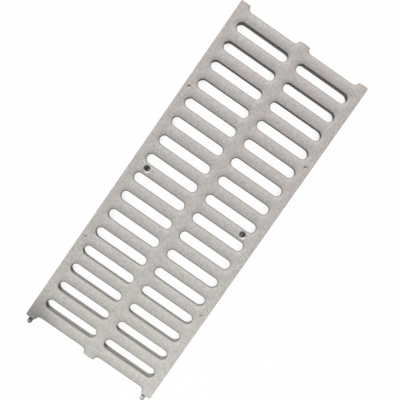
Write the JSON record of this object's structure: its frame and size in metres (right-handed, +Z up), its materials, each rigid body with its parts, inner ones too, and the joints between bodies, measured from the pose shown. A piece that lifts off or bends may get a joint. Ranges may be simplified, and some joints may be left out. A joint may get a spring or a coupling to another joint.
{
  "type": "channel drain grate",
  "caption": "Moulded cover grate for a drain channel: a flat plate with two columns of long round-ended slots, pins at one end and sockets at the other.",
  "frame": {"origin": "on the underside, midway between the two screw holes", "axes": "+Z up out of the deck, +Y along the grate from the pins to the sockets, +X across the channel"},
  "size_m": [0.2, 0.511, 0.016],
  "materials": {
    "body": "matte, warm light grey, faintly mottled"
  },
  "bodies": {
    "root": {"grate": "body"}
  },
  "joints": []
}
